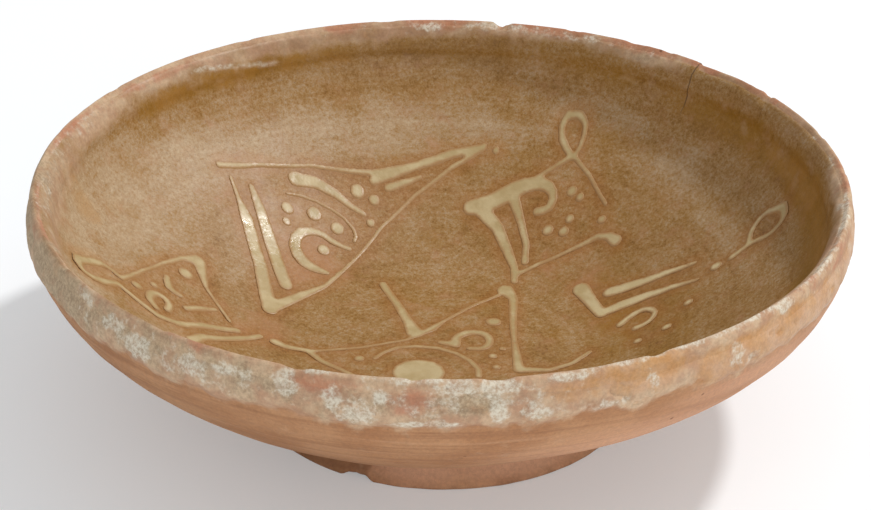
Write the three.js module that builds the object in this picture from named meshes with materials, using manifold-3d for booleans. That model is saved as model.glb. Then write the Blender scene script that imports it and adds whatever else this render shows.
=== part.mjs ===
import * as THREE from 'three';
import { mergeVertices } from 'three/addons/utils/BufferGeometryUtils.js';
import Module from 'manifold-3d';

// Wheel-thrown slip-trailed bowl, millimetres, standing on z = 0, axis of the lip along z.

// Thrown body
const bellyRadius = 119.2; // widest point of the wall
const rimHeight = 73; // top of the lip
const bellyDrop = 11.5; // from the top of the lip down to the widest point
const lipInset = 1; // the lip leans in from the belly
const lipThickness = 6.6;
const wallThickness = 7;
const floorThickness = 6;
const baseRadius = 56; // edge of the flat underside
const lowerWallReach = 14; // spread of the wall just above the base
const lowerWallRise = 8.8;
const shoulderReach = 4.4; // how far the wall still spreads below the belly
const shoulderDrop = 24;
const bendShare = 0.28; // share of the wall curve, from the base up, where the floor bends up inside

// Foot ring
const footHeight = 8;
const footRadius = 57.5; // outside of the resting face
const footFlare = 2.5; // the ring spreads from the base down to the ground
const footWidth = 11; // resting face across
const footEdge = 1.2; // worn lower edge
const footOffset = 1; // the ring stands off the axis of the lip

// Coats
const seatGap = 0.3; // clearance between a piece and the one it lies on
const glazeThickness = 0.5;
const slipThickness = 1.4;
const bareShare = 0.94; // share of the wall curve, from the base up, left bare outside

// The ornament is drawn for a bowl of this clear radius and follows the real one
const drawnRadius = 112.2;

// Fineness of the round shapes
const turns = 48;
const wallSteps = 6;
const bandSteps = 2;
const lipSteps = 4;
const floorSteps = 3;
const trailBend = 0.3; // radians between two points of a trail
const capSteps = 6;
const dotSides = 12;

const wasm = await Module();
wasm.setup();

const vec = (x, y) => new THREE.Vector2(x, y);

function solid(geometry) {
  geometry.deleteAttribute('normal');
  geometry.deleteAttribute('uv');
  const merged = mergeVertices(geometry, 1e-4);
  return new wasm.Manifold(new wasm.Mesh({
    numProp: 3,
    vertProperties: new Float32Array(merged.attributes.position.array),
    triVerts: new Uint32Array(merged.index.array),
  }));
}

function geometryOf(shape) {
  const mesh = shape.getMesh();
  const geometry = new THREE.BufferGeometry();
  geometry.setAttribute('position', new THREE.BufferAttribute(mesh.vertProperties, 3));
  geometry.setIndex(new THREE.BufferAttribute(mesh.triVerts, 1));
  return geometry;
}

function turned(profile) {
  return new THREE.LatheGeometry(profile, turns).rotateX(Math.PI / 2);
}

// Wall of the body: the outside is one sweeping curve from the base to the belly
const bellyHeight = rimHeight - bellyDrop;
const rimRadius = bellyRadius - lipInset;
const lipRadius = lipThickness / 2;
const lipHeight = rimHeight - lipRadius;
const wall = new THREE.CubicBezierCurve(
  vec(baseRadius, footHeight),
  vec(baseRadius + lowerWallReach, footHeight + lowerWallRise),
  vec(bellyRadius - shoulderReach, bellyHeight - shoulderDrop),
  vec(bellyRadius, bellyHeight),
);
const collar = new THREE.QuadraticBezierCurve(
  vec(bellyRadius, bellyHeight),
  vec(bellyRadius, (bellyHeight + lipHeight) / 2),
  vec(rimRadius, lipHeight),
);

// A point of a face with the direction in which the coats build up on it
function facePoint(point, normal) {
  return { point, normal: normal.normalize() };
}

function alongCurve(curve, from, to, steps, side) {
  const points = [];
  for (let i = 0; i <= steps; i += 1) {
    const t = from + (to - from) * i / steps;
    const tangent = curve.getTangent(t);
    points.push(facePoint(curve.getPoint(t), vec(-tangent.y, tangent.x).multiplyScalar(side)));
  }
  return points;
}

const lowerFace = alongCurve(wall, 0, bareShare, wallSteps, -1);
const glazedFace = [
  ...alongCurve(wall, bareShare, 1, bandSteps, -1),
  ...alongCurve(collar, 0, 1, 2, -1).slice(1),
];

// The inside keeps the wall thickness and runs into a flat floor through a soft bend
const innerWall = alongCurve(wall, bendShare, 1, wallSteps, 1);
for (const spot of innerWall) {
  spot.point.addScaledVector(spot.normal, wallThickness);
}
const floorHeight = footHeight + floorThickness;
const bendEnd = innerWall[0].point;
const bendSlope = wall.getTangent(bendShare);
const bendReach = (bendEnd.y - floorHeight) * bendSlope.x / bendSlope.y;
const bend = new THREE.QuadraticBezierCurve(
  vec(bendEnd.x - 2 * bendReach, floorHeight),
  vec(bendEnd.x - bendReach, floorHeight),
  bendEnd,
);
const innerLip = vec(rimRadius - lipThickness, lipHeight);
const innerFace = [
  facePoint(vec(0, floorHeight), vec(0, 1)),
  ...alongCurve(bend, 0, 1, floorSteps, 1).slice(0, -1),
  ...innerWall,
  facePoint(innerLip, vec(-1, 0)),
];

const lip = [];
for (let i = 1; i < lipSteps; i += 1) {
  const angle = Math.PI * i / lipSteps;
  lip.push(vec(innerLip.x + lipRadius * (1 + Math.cos(angle)), lipHeight + lipRadius * Math.sin(angle)));
}

function raised(face, height) {
  return face.map(({ point, normal }) => point.clone().addScaledVector(normal, height));
}

const bodyProfile = [
  vec(0, footHeight),
  ...raised(lowerFace, 0),
  ...raised(glazedFace, 0).slice(1),
  ...lip,
  ...raised(innerFace, 0).reverse(),
];

// A coat of even thickness lying on the inside of the body
function innerCoat(thickness) {
  return turned([
    ...raised(innerFace, seatGap),
    ...raised(innerFace, seatGap + thickness).reverse(),
  ]);
}

// Glaze run over the upper outside
const outerGlazeProfile = [
  ...raised(glazedFace, seatGap + glazeThickness),
  ...raised(glazedFace, seatGap).reverse(),
];
outerGlazeProfile.push(outerGlazeProfile[0].clone());

const footTop = footRadius - footFlare;
const footInside = footRadius - footWidth;
const footProfile = [
  vec(footInside, 0),
  vec(footRadius - footEdge, 0),
  vec(footRadius, footEdge),
  vec(footTop, footHeight),
  vec(footInside, footHeight),
  vec(footInside, 0),
];

// Slip trails: each point is x, y and the width of the trail there, seen from above
const backLeft = {
  trails: {
    frame: [
      [[-67, 63.5, 1.4], [-64, 57, 2], [-61.5, 52, 4.4], [-56, 34.5, 4.6], [-52, 15.5, 5.2]],
      [[-52, 16.5, 5], [-44, 25.5, 3.6], [-36, 33.5, 2], [-27.5, 47.5, 1.4],
        [-18.5, 63, 1.4], [-8.5, 74.5, 1.4], [3.5, 84, 1.6], [14.5, 89.5, 1.6]],
      [[-71, 65.5, 2], [-57.5, 72.5, 1.4], [-42, 78.2, 1.3], [-22.5, 80.5, 2],
        [-9, 84, 2.8], [3.5, 88.3, 3], [14.5, 90, 1.8]],
      [[-22, 77.8, 3], [-16.5, 80, 2.2], [-9, 83.3, 1.6]],
    ],
    inner_bar: [[[-60.5, 63.5, 2.2], [-57.5, 57, 3.8], [-53, 44.5, 4.8], [-48, 30, 4.6]]],
    club: [[[-47, 72, 5], [-40.5, 73, 4.2], [-34, 71, 3.4], [-29, 68, 2.4], [-24.5, 66, 1.8]]],
    arc: [[[-49.5, 66, 1], [-43, 67, 1.2], [-36, 65.5, 1.2], [-30, 62.5, 1.2], [-27, 58.5, 1.6],
      [-27.5, 55.5, 1.4]]],
    scroll: [[[-28.8, 52.2, 1.8], [-33.5, 53.2, 2.2], [-39, 55.8, 2.8], [-44.5, 53.8, 3.6],
      [-46.2, 48.5, 4.2], [-43.8, 43.2, 4.6], [-40, 41, 4], [-35.5, 40, 2]]],
    leaf: [[[-17.3, 76.2, 2.8], [-12, 78.4, 2.6], [-6.5, 80.8, 1.4]]],
  },
  dots: [[-49, 61, 2.2], [-49, 56, 1.6], [-40.5, 62, 2.6], [-33, 59, 2.4], [-27, 73.5, 2.5],
    [-21.5, 71.5, 2], [-22.4, 63.4, 1.6], [-37, 49.5, 2.2], [18.2, 88.3, 1.3]],
};
const backRight = {
  trails: {
    frame: [
      [[9.8, 70.6, 5.2], [16.5, 71.8, 5.8], [23.5, 74.6, 6], [29.5, 75.8, 4.8], [34.2, 74.4, 4],
        [36.6, 70.5, 3.2], [35, 66.2, 3], [31.2, 66, 3]],
      [[13.5, 69.5, 5.4], [18.5, 62.5, 4.2], [21.5, 53.5, 3.6], [23.5, 46, 2.8], [23.5, 39, 2.6]],
      [[24, 71.5, 4], [26, 63.5, 2.8], [27.5, 55, 2.4], [27, 47.5, 2.6]],
      [[23.5, 42, 2], [31.5, 46, 1.6], [40.5, 48.5, 1.6], [50, 50.8, 2.4],
        [53.2, 49.4, 3], [55.4, 46.5, 4.2]],
      [[27.5, 76, 1.8], [35, 79, 1.6], [43, 81.5, 1.8]],
      [[43, 81, 2], [40.6, 85.5, 2.4], [39.4, 90, 2.6], [41.5, 93.5, 2.4]],
      [[41.5, 93.5, 2.4], [45.5, 92.5, 2.2], [47.5, 89, 2], [45.5, 83.5, 1.8], [43, 81, 1.6]],
      [[44, 80.5, 1.6], [48.2, 73.5, 1.4], [53, 61.5, 1.3]],
    ],
  },
  dots: [[42.5, 70, 1.9], [45, 67, 1.5], [41.5, 60.5, 1.6], [39.5, 56.5, 1.9], [34.5, 58.5, 2],
    [51.5, 56.5, 1.6]],
};
const right = {
  trails: {
    corner: [
      [[44, 30.5, 5.8], [46.5, 23.5, 4.4], [49.5, 15.5, 4]],
      [[49.5, 15.8, 3.8], [55, 17.3, 4.6], [63, 17.4, 3.8], [70.5, 16, 2.6], [78, 13.4, 1.5]],
    ],
    bar: [[[52.5, 25.5, 4.6], [60, 25, 4], [69, 24, 2.8], [78, 22, 1.6]]],
    scroll: [[[54.5, 7, 2.6], [58, 10, 2.8], [62, 11, 2.4], [65, 7.5, 2],
      [63, 3.5, 2], [59, 2.5, 3]]],
    loop: [
      [[88, 15, 2.6], [94, 16, 2], [98.5, 14, 2], [102.8, 16, 2.2], [103, 21, 2.2]],
      [[103, 21, 2.2], [98.5, 24.5, 2.2], [94.5, 21.5, 2], [93, 16.5, 2]],
    ],
  },
  dots: [[83.5, 15, 1.9], [74.5, 4, 1.6], [67.5, -4, 1.7], [59, -5.5, 1.5]],
};
const centre = {
  trails: {
    frame: [
      [[20.5, 34.5, 5.6], [23, 29, 3.2], [22.5, 15.5, 2.6], [22.5, 3.5, 2], [23.5, -13.5, 3.6]],
      [[23.5, -14.5, 3.8], [32.5, -14.5, 2.2], [39.5, -11, 2], [45, -5, 1.8]],
      [[-49.5, -2, 3.6], [-46, -3.5, 3], [-39.5, -4.5, 2.6], [-35, -10.5, 2.2],
        [-30, -14.5, 2], [-25, -19, 2]],
      [[-39, -4.5, 1.6], [-24, -2, 1.4], [-10, 3, 1.4], [-2.4, 9.8, 3.2], [1.5, 15, 1.4],
        [10.5, 25, 1.4], [19.5, 32.5, 1.6]],
      [[-18, 37.5, 2.8], [-13.3, 25.5, 3], [-9.8, 14.5, 3.6], [-7.5, 7, 5.6]],
    ],
    ring: [[[-19.5, -8.5, 1.6], [-15.5, -3.5, 1.6], [-9.5, -1, 2], [-0.5, -2, 2], [6, -6, 1.8],
      [11, -12.5, 2.2], [11.6, -18.5, 2.4]]],
    disc: [[[-6.8, -16.4, 15], [-5.6, -16.4, 15]]],
    scroll: [
      [[0.2, 1.6, 2.4], [4.8, 0.4, 3.6]],
      [[4.8, 0, 3.4], [5.4, 5, 3.2], [9.5, 7.9, 3.4], [13.8, 6.6, 3], [15.2, 2.2, 2.8],
        [13.2, -1.8, 2.6], [9, -2, 2.4]],
    ],
  },
  dots: [[16.5, 14.5, 2.6], [19, -2, 1.3], [16, -6.5, 1.6], [17, -13, 1.5], [-24, -8.5, 1.8]],
};
const left = {
  trails: {
    frame: [
      [[-63, 1.5, 1.4], [-65.5, 5.5, 1.4], [-71, 13.5, 1.6], [-74.2, 24.4, 4.8]],
      [[-74.2, 24.4, 4.8], [-79, 21.5, 2], [-84, 14, 1.4], [-88.5, 5, 1.4], [-93.5, -7.5, 1.8]],
      [[-93.5, -7.5, 2], [-98, -6.5, 2.6], [-102, -11.5, 2.8], [-104.2, -17, 2.8]],
      [[-104.2, -17, 2.8], [-103, -21.5, 2.6], [-98.7, -19.2, 2.8], [-94, -12, 2.4]],
      [[-94, -12, 2.4], [-87, -15, 2.6], [-82, -17, 3], [-76.5, -15, 3.2],
        [-69.5, -7.5, 3], [-60.5, -2, 2.6]],
    ],
    bar: [[[-72, -21.5, 4], [-69.5, -15.5, 3.4], [-63.5, -10, 2.6], [-54, -1, 2.6]]],
    leaf: [[[-83, -12.5, 2.4], [-85.4, -9, 2.8], [-85, -5, 2.8], [-82.5, -3.4, 2.6],
      [-80, -6, 2.6], [-80.2, -10, 2.4]]],
    stem: [[[-75.5, -3, 2.4], [-72.5, 0.5, 2.4], [-67.5, 4.5, 1.8]]],
    crescent: [[[-82, 8.5, 2.2], [-81, 3.5, 3], [-77.5, 2.5, 2.2]]],
  },
  dots: [[-89.2, -5.8, 1.8], [-85, 0.3, 1.5], [-77.2, 15.3, 2.4]],
};

// Six panels stand round the middle one; the front two repeat the drawing of the panels behind
const panels = [
  ['back_left', backLeft, 0],
  ['back_right', backRight, 0],
  ['right', right, 0],
  ['centre', centre, 0],
  ['left', left, 0],
  ['front_left', { trails: backRight.trails, dots: [] }, 180],
  ['front_right', { trails: right.trails, dots: right.dots.slice(0, 2) }, -65],
];
const drawingScale = (bellyRadius - wallThickness) / drawnRadius;

function placed(x, y, turn) {
  return vec(x, y).multiplyScalar(drawingScale).rotateAround(vec(0, 0), THREE.MathUtils.degToRad(turn));
}

function widthAt(points, t) {
  const place = t * (points.length - 1);
  const index = Math.min(Math.floor(place), points.length - 2);
  return THREE.MathUtils.lerp(points[index][2], points[index + 1][2], place - index) * drawingScale;
}

// The more a trail bends, the more points it takes
function stepsAlong(points) {
  let bending = 0;
  for (let i = 1; i < points.length - 1; i += 1) {
    const before = vec(points[i][0] - points[i - 1][0], points[i][1] - points[i - 1][1]);
    const after = vec(points[i + 1][0] - points[i][0], points[i + 1][1] - points[i][1]);
    bending += Math.abs(before.angleTo(after));
  }
  return Math.max(points.length - 1, Math.ceil(bending / trailBend));
}

// Round nose of a trail, turning from one side to the other
function nose(point, ahead, half) {
  const across = vec(-ahead.y, ahead.x);
  const points = [];
  for (let i = 0; i <= capSteps; i += 1) {
    const angle = Math.PI * i / capSteps;
    points.push(point.clone()
      .addScaledVector(across, half * Math.cos(angle))
      .addScaledVector(ahead, half * Math.sin(angle)));
  }
  return points;
}

// Column over the outline of a trail; the column reaches through every coat of the bowl
function trailColumn(points, turn, grow) {
  const curve = new THREE.SplineCurve(points.map(([x, y]) => placed(x, y, turn)));
  const steps = stepsAlong(points);
  const near = [];
  const far = [];
  for (let i = 1; i < steps; i += 1) {
    const t = i / steps;
    const ahead = curve.getTangent(t);
    const across = vec(-ahead.y, ahead.x).multiplyScalar(widthAt(points, t) / 2 + grow);
    near.push(curve.getPoint(t).add(across));
    far.push(curve.getPoint(t).sub(across));
  }
  const outline = [
    ...near,
    ...nose(curve.getPoint(1), curve.getTangent(1), widthAt(points, 1) / 2 + grow),
    ...far.reverse(),
    ...nose(curve.getPoint(0), curve.getTangent(0).negate(), widthAt(points, 0) / 2 + grow),
  ];
  const shape = new THREE.Shape(outline);
  return solid(new THREE.ExtrudeGeometry(shape, { depth: rimHeight, bevelEnabled: false }));
}

function dotColumn([x, y, radius], turn, grow) {
  const place = placed(x, y, turn);
  const half = radius * drawingScale + grow;
  const column = new THREE.CylinderGeometry(half, half, rimHeight, dotSides).rotateX(Math.PI / 2);
  return solid(column.translate(place.x, place.y, rimHeight / 2));
}

const joined = (columns) => columns.reduce((whole, column) => whole.add(column));

const slipLayer = solid(innerCoat(slipThickness));
const slips = [];
const windows = [];
for (const [panel, drawing, turn] of panels) {
  for (const [trail, lines] of Object.entries(drawing.trails)) {
    slips.push([`slip_${panel}_${trail}`, joined(lines.map((line) => trailColumn(line, turn, 0)))]);
    windows.push(...lines.map((line) => trailColumn(line, turn, seatGap)));
  }
  drawing.dots.forEach((dot, index) => {
    slips.push([`slip_${panel}_dot_${index + 1}`, dotColumn(dot, turn, 0)]);
    windows.push(dotColumn(dot, turn, seatGap));
  });
}

// The glaze fills the field between the trails
const glazeFields = solid(innerCoat(glazeThickness)).subtract(joined(windows)).decompose();
const glazeField = glazeFields.reduce((most, field) => (field.volume() > most.volume() ? field : most));

const bowl = new THREE.Group();
function addPiece(name, geometry, colour, roughness) {
  const mesh = new THREE.Mesh(geometry, new THREE.MeshStandardMaterial({ color: colour, roughness }));
  mesh.name = name;
  bowl.add(mesh);
}

addPiece('thrown_body', turned(bodyProfile), 0xc08a62, 0.85);
addPiece('foot_ring', turned(footProfile).translate(footOffset, 0, 0), 0xb9805a, 0.9);
addPiece('inner_glaze', geometryOf(glazeField), 0x96703f, 0.25);
addPiece('outer_glaze', turned(outerGlazeProfile), 0xc9a878, 0.5);
for (const [name, column] of slips) {
  addPiece(name, geometryOf(slipLayer.intersect(column)), 0xd8c48f, 0.35);
}

export default bowl;
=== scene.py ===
import math

import bmesh
import bpy
import numpy as np
from mathutils import Matrix, Vector, noise
from mathutils.bvhtree import BVHTree
from mathutils.geometry import interpolate_bezier
from mathutils.kdtree import KDTree


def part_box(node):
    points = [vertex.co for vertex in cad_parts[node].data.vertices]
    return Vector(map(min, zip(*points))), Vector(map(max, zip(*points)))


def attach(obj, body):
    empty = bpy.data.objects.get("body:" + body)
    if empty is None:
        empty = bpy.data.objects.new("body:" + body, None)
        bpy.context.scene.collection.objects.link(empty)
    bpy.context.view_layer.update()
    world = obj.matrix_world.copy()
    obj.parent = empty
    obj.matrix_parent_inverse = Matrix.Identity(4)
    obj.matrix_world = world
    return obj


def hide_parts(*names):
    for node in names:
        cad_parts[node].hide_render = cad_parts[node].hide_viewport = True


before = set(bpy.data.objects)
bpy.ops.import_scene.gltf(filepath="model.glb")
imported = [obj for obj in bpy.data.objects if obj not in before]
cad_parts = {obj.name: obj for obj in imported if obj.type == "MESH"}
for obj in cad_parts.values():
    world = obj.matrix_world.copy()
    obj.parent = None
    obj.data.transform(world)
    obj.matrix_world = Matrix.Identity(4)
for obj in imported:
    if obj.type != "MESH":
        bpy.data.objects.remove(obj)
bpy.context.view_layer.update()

# Thrown body
# One wall of red earthenware thrown on a wheel: a shallow bowl with a turned-in shoulder and a round
# lip. The outside was left bare below the glaze, and the lip has since been rubbed, chipped and cracked.
mm = 0.001
body_low, body_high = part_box("thrown_body")
belly_radius = body_high.x
rim_height = body_high.z
base_height = body_low.z
base_radius = 56 * mm
belly_height = rim_height - 11.5 * mm
lower_reach = 14 * mm
lower_rise = 8.8 * mm
shoulder_reach = 4.4 * mm
shoulder_drop = 24 * mm
lip_inset = 0.3 * mm
lip_height = rim_height - 3.3 * mm
crest_radius = belly_radius - 2 * mm
crest_height = rim_height - 0.15 * mm
wall_thickness = 7 * mm
floor_height = base_height + 6 * mm
bend_share = 0.28
flank_rise = 4.5 * mm
crest_reach = 2.4 * mm
crest_drop = 1.9 * mm
buried_depth = 0.6 * mm
wall_rings = 72
collar_rings = 8
lip_rings = 8
flank_rings = 20
bend_rings = 16
bare_rings = 19
buried_step = 3
body_turns = 720
same_point = 0.001 * mm


def flat_curve(corners, count):
    """Points along a quadratic or cubic Bezier curve, drawn as radius and height."""
    ends = [Vector((radius, 0, height)) for radius, height in corners]
    if len(ends) == 3:
        first, pull, last = ends
        ends = [first, first.lerp(pull, 2 / 3), last.lerp(pull, 2 / 3), last]
    return interpolate_bezier(*ends, count)


def moved_left(line, distance):
    """The same line, moved sideways to the left of its way. An end on the axis stays on it."""
    moved = []
    for before, here, after in zip([line[0]] + line, line, line[1:] + [line[-1]]):
        along = (after - before).normalized()
        moved.append(here + distance * Vector((-along.z, 0, along.x)))
        moved[-1].x *= here.x > 0
    return moved


def settle(pieces):
    """Turns the modifiers of each piece into a plain smooth mesh with its normals outward."""
    view = bpy.context.evaluated_depsgraph_get()
    meshes = [bpy.data.meshes.new_from_object(piece.evaluated_get(view)) for piece in pieces]
    for piece, mesh in zip(pieces, meshes):
        shape = bmesh.new()
        shape.from_mesh(mesh)
        bmesh.ops.remove_doubles(shape, verts=shape.verts, dist=same_point)
        bmesh.ops.recalc_face_normals(shape, faces=shape.faces)
        shape.to_mesh(mesh)
        shape.free()
        mesh.shade_smooth()
        mesh.name = piece.name
        mesh.materials.clear()
        piece.modifiers.clear()
        piece.data = mesh


def turned(name, profile, turns):
    """A closed solid turned from a flat line: one that stands off the axis is closed on itself."""
    shape = bmesh.new()
    points = [shape.verts.new(point) for point in profile]
    for pair in zip(points, points[1:]):
        shape.edges.new(pair)
    if profile[0].x > 0:
        shape.edges.new((points[-1], points[0]))
    line = bpy.data.meshes.new(name + "_line")
    shape.to_mesh(line)
    shape.free()
    piece = bpy.data.objects.new(name, line)
    bpy.context.scene.collection.objects.link(piece)
    lathe = piece.modifiers.new("lathe", "SCREW")
    lathe.steps = turns
    lathe.render_steps = turns
    lathe.use_merge_vertices = True
    lathe.merge_threshold = same_point
    settle([piece])
    return piece


def points_of(piece, field="co"):
    """A piece's points, or their normals, as rows of three numbers."""
    values = np.empty(len(piece.data.vertices) * 3, np.float32)
    piece.data.vertices.foreach_get(field, values)
    return values.reshape(-1, 3).astype(float)


def set_points(piece, points):
    piece.data.vertices.foreach_set("co", points.astype(np.float32).ravel())
    piece.data.update()


def polar(points):
    """Azimuth, radius and height of each point."""
    return np.arctan2(points[:, 1], points[:, 0]), np.hypot(points[:, 0], points[:, 1]), points[:, 2]


def drift(points, size, seed):
    """Smooth noise from about -1 to 1, in lumps of the given size."""
    start = Vector((seed, 2 * seed, 3 * seed))
    return np.array([noise.noise(Vector(point) / size + start) for point in points])


def eased(values, low, high):
    """0 at low and 1 at high, with a smooth step between them."""
    share = np.clip((values - low) / (high - low), 0, 1)
    return share * share * (3 - 2 * share)


def turn_from(azimuth, degrees):
    """Angle from a bearing, from -pi to pi."""
    return np.angle(np.exp(1j * (azimuth - math.radians(degrees))))


def dabbed(points, dabs):
    """How much of a brush's dabs lies at each point. A dab has its bearing in degrees, then its radius,
    height, reach along the ring and reach across it in mm, then its strength."""
    azimuth, radius, height = polar(points)
    cover = np.zeros(len(points))
    for bearing, out, up, along, across, strength in dabs:
        swing = turn_from(azimuth, bearing) * out / along
        away = np.hypot(radius / mm - out, height / mm - up) / across
        cover = np.maximum(cover, strength * (1 - eased(np.hypot(swing, away), 0.2, 1)))
    return cover


def lay_on(piece, layer, values):
    """Keeps a value for each point, for the material to read."""
    values = np.asarray(values, np.float32)
    piece.data.attributes.new(layer, "FLOAT", "POINT").data.foreach_set("value", values)


outer_wall = flat_curve([
    (base_radius, base_height),
    (base_radius + lower_reach, base_height + lower_rise),
    (belly_radius - shoulder_reach, belly_height - shoulder_drop),
    (belly_radius, belly_height),
], wall_rings)
collar = flat_curve([
    (belly_radius, belly_height),
    (belly_radius, (belly_height + lip_height) / 2),
    (belly_radius - lip_inset, lip_height),
], collar_rings)
lip = flat_curve([
    (belly_radius - lip_inset, lip_height),
    (belly_radius - lip_inset, crest_height),
    (crest_radius, crest_height),
], lip_rings)
inner_wall = moved_left(outer_wall[round(bend_share * wall_rings):], wall_thickness)
slope = (inner_wall[1] - inner_wall[0]).normalized()
bend_corner = inner_wall[0] - slope * (inner_wall[0].z - floor_height) / slope.z
floor_bend = flat_curve([
    (2 * bend_corner.x - inner_wall[0].x, floor_height),
    (bend_corner.x, floor_height),
    (inner_wall[0].x, inner_wall[0].z),
], bend_rings)
flank = flat_curve([
    (inner_wall[-1].x, inner_wall[-1].z),
    (inner_wall[-1].x, inner_wall[-1].z + flank_rise),
    (crest_radius - crest_reach, crest_height - crest_drop),
    (crest_radius, crest_height),
], flank_rings)
inner_face = [Vector((0, 0, floor_height))] + floor_bend[:-1] + inner_wall + flank[1:]
under_base = [Vector((0, 0, base_height)), Vector((base_radius / 2, 0, base_height))]
inside_lip = inner_face[-2:-bare_rings - 1:-1]
under_glaze = moved_left(inner_face, -buried_depth)[:-bare_rings:buried_step][::-1]
body = turned("thrown_body_clay",
              under_base + outer_wall + collar[1:] + lip[1:] + inside_lip + under_glaze, body_turns)

ring_spacing = 4.6 * mm
ring_wander = 45 * mm
ring_relief = 0.10 * mm
lump_size = 11 * mm
lump_relief = 0.22 * mm
nibble_size = 6 * mm
nibble_relief = 0.14 * mm
# Each chip has its bearing in degrees, then its width and depth in mm.
chips = [
    (80, 5, 1.3), (57, 7, 0.35), (51, 4, 0.3), (29.5, 4, 0.9), (33, 8, 0.3), (-6, 6, 1.1), (2, 4, 0.7),
    (14, 5, 0.4), (99, 6, 0.3), (68, 5, 0.3), (-83, 7, 0.7), (-93, 4, 0.6), (-108, 6, 0.7),
    (-62, 5, 0.6), (-128, 6, 0.6), (150, 5, 0.3), (-150, 5, 0.5), (-30, 5, 0.4), (123, 4, 0.3),
]
chip_height = 4 * mm
chip_grain = 2.2 * mm
chip_raggedness = 0.6
crest_band = 0.5 * mm
crack_bearing = 45
crack_step = 0.75 * mm
crack_sag = 11
crack_reach = 22 * mm
# The hand's unevenness: bearings in degrees, and how far each fades round the bowl in radians.
front_bearing = -95
front_fade = (0.3, 1.5)
front_dip = 0.5 * mm
front_dip_foot = 45 * mm
fullness = 0.4 * mm
fullness_level = 42 * mm
fullness_reach = (3 * mm, 18 * mm)
right_bearing = -10
right_fade = (0.3, 1)
right_fullness = 0.6 * mm
right_level = 50 * mm
right_reach = (3 * mm, 13 * mm)
hollow_bearing = -55
hollow_fade = (0.25, 0.8)
hollow_depth = 0.9 * mm
hollow_level = 27 * mm
hollow_reach = (4 * mm, 15 * mm)


def about(values, middle, near, far):
    """1 about a middle value, fading to 0 between two distances from it."""
    return 1 - eased(np.abs(values - middle), near, far)


def on_crest(height):
    """1 on the crest of the lip, fading to 0 as deep as the chips reach."""
    return eased(height, rim_height - chip_height, rim_height - crest_band)


def lip_fall(points):
    """How far chips, the crack and the hand's unevenness lower the lip at each point."""
    azimuth, radius, height = polar(points)
    crest = on_crest(height)
    ragged = 1 + chip_raggedness * drift(points, chip_grain, seed=11)
    in_front = about(turn_from(azimuth, front_bearing), 0, *front_fade)
    fall = front_dip * in_front * eased(height, front_dip_foot, rim_height)
    for bearing, width, depth in chips:
        arc = turn_from(azimuth, bearing) * radius
        fall += crest * ragged * depth * mm * about(arc, 0, 0.2 * width * mm, 0.7 * width * mm)
    past_crack = -np.degrees(turn_from(azimuth, crack_bearing))
    sag = np.where(past_crack > 0, 1 - eased(past_crack, 0, crack_sag), 0)
    return fall + crack_step * sag * eased(height, rim_height - crack_reach, rim_height)


def hand_swell(points):
    """How far the thrown wall stands out from a truly turned one at each point."""
    azimuth, _, height = polar(points)
    on_right = about(turn_from(azimuth, right_bearing), 0, *right_fade)
    front_right = about(turn_from(azimuth, hollow_bearing), 0, *hollow_fade)
    swell = fullness * about(height, fullness_level, *fullness_reach)
    swell += right_fullness * on_right * about(height, right_level, *right_reach)
    return swell - hollow_depth * front_right * about(height, hollow_level, *hollow_reach)


points = points_of(body)
_, radius, height = polar(points)
normal = points_of(body, "normal")
outside = eased((normal[:, :2] * points[:, :2] / np.maximum(radius, mm)[:, None]).sum(1), 0, 0.4)
waves = np.sin(math.tau * height / ring_spacing + 2 * drift(points, ring_wander, seed=3))
relief = outside * ring_relief * (waves - 1) - lump_relief * (1 + drift(points, lump_size, seed=5)) / 2
relief -= nibble_relief * on_crest(height) * np.maximum(drift(points, nibble_size, seed=8), 0)
relief += outside * hand_swell(points)
points += normal * relief[:, None]
points[:, 2] -= lip_fall(points)
set_points(body, points)

glaze_edge = 59 * mm
edge_swing = 2.2 * mm
edge_fray = 1.8 * mm
edge_fade = 3 * mm
amber_fade = 5 * mm
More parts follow.
